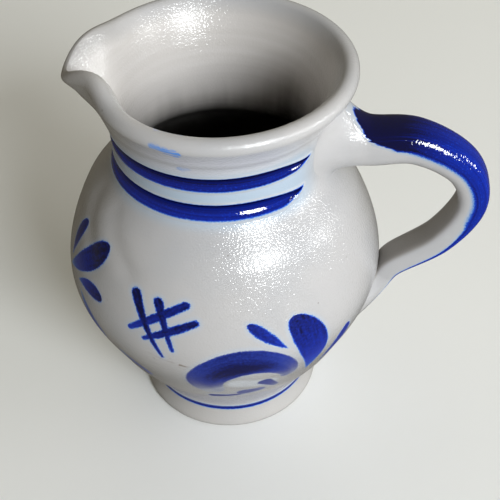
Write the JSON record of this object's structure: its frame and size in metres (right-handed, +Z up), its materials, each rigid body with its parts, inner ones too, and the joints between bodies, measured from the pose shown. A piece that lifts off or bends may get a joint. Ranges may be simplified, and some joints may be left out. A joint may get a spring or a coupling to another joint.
{
  "type": "stoneware jug",
  "caption": "Grey salt-glazed stoneware jug with a round belly, pulled spout, strap handle and cobalt-blue bands and brushwork.",
  "frame": {"origin": "centre of the flat base, on the plane the jug stands on", "axes": "+Z up along the turned axis, +X towards the handle, so that the spout lies towards -X, turned 10 degrees towards -Y"},
  "size_m": [0.1724, 0.132, 0.1753],
  "materials": {
    "stoneware": "grey salt glaze, glossy with fine orange-peel",
    "cobalt": "thick cobalt-blue under salt glaze, glossy"
  },
  "bodies": {
    "root": {"body": "stoneware", "handle": "stoneware", "handle_coat": "cobalt", "neck_band_upper": "cobalt", "neck_band_lower": "cobalt", "foot_line": "cobalt"}
  },
  "joints": []
}
